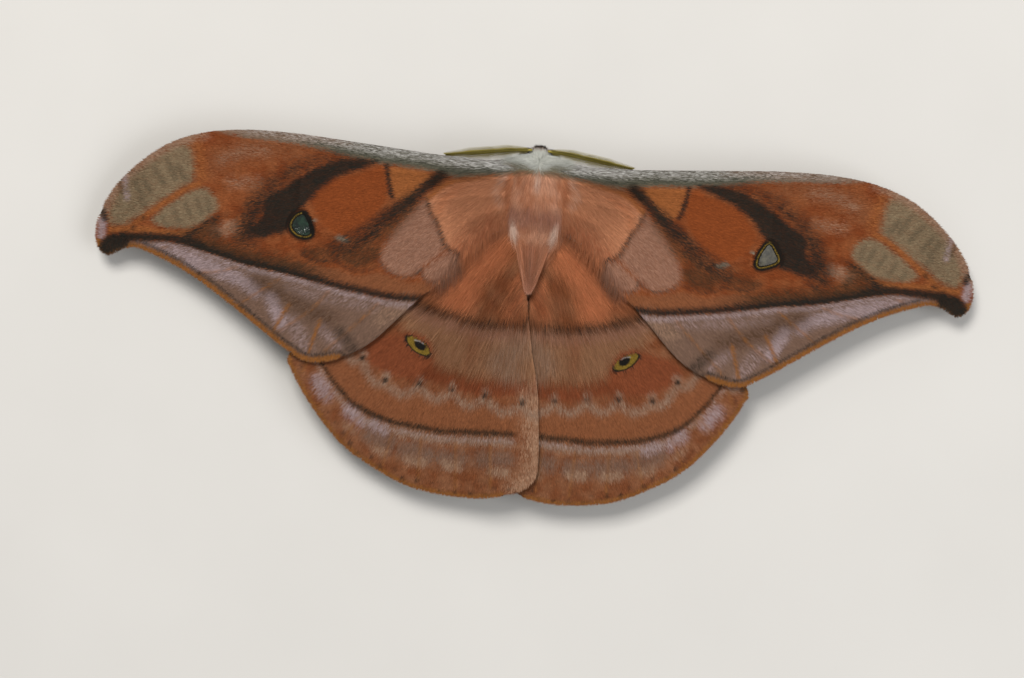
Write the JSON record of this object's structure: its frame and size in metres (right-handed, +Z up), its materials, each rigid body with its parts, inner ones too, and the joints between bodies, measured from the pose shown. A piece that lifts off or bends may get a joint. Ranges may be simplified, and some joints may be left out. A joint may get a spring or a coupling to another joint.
{
  "type": "copaxa moth specimen, wings spread",
  "caption": "Life-size still model of a male Copaxa moth at rest, wings spread flat, hooked forewing tips over rounded hindwings, standing on its feet.",
  "frame": {"origin": "on the floor under the middle of the moth's whole outline", "axes": "+Z up, away from the floor; -Y the way the head looks, so the hindwings point to +Y; +X to the moth's left wing"},
  "size_m": [0.1146, 0.047, 0.0106],
  "materials": {
    "thorax_hair": "dense orange-tan hair",
    "collar_hair": "cream-white hair with an olive-dark hem",
    "abdomen_hair": "rusty orange hair in soft rings",
    "face_hair": "short cream and dark brown hair",
    "eye": "dark glossy compound eye",
    "palp_hair": "short brown hair",
    "antenna": "olive-brown horn, feathered",
    "forewing_scales": "rust-orange scales, banded with a dark line, glassy spot",
    "hindwing_scales": "rust-orange scales with long hair, yellow-ringed spot",
    "leg_hair": "rusty brown hair, dark claws"
  },
  "bodies": {
    "root": {"thorax": "thorax_hair", "collar": "collar_hair", "abdomen": "abdomen_hair", "head": "face_hair", "eye_left": "eye", "eye_right": "eye", "palp_left": "palp_hair", "palp_right": "palp_hair", "antenna_left": "antenna", "antenna_right": "antenna", "forewing_left": "forewing_scales", "forewing_right": "forewing_scales", "hindwing_left": "hindwing_scales", "hindwing_right": "hindwing_scales", "foreleg_left": "leg_hair", "foreleg_right": "leg_hair", "middle_leg_left": "leg_hair", "middle_leg_right": "leg_hair", "hindleg_left": "leg_hair", "hindleg_right": "leg_hair"}
  },
  "joints": []
}
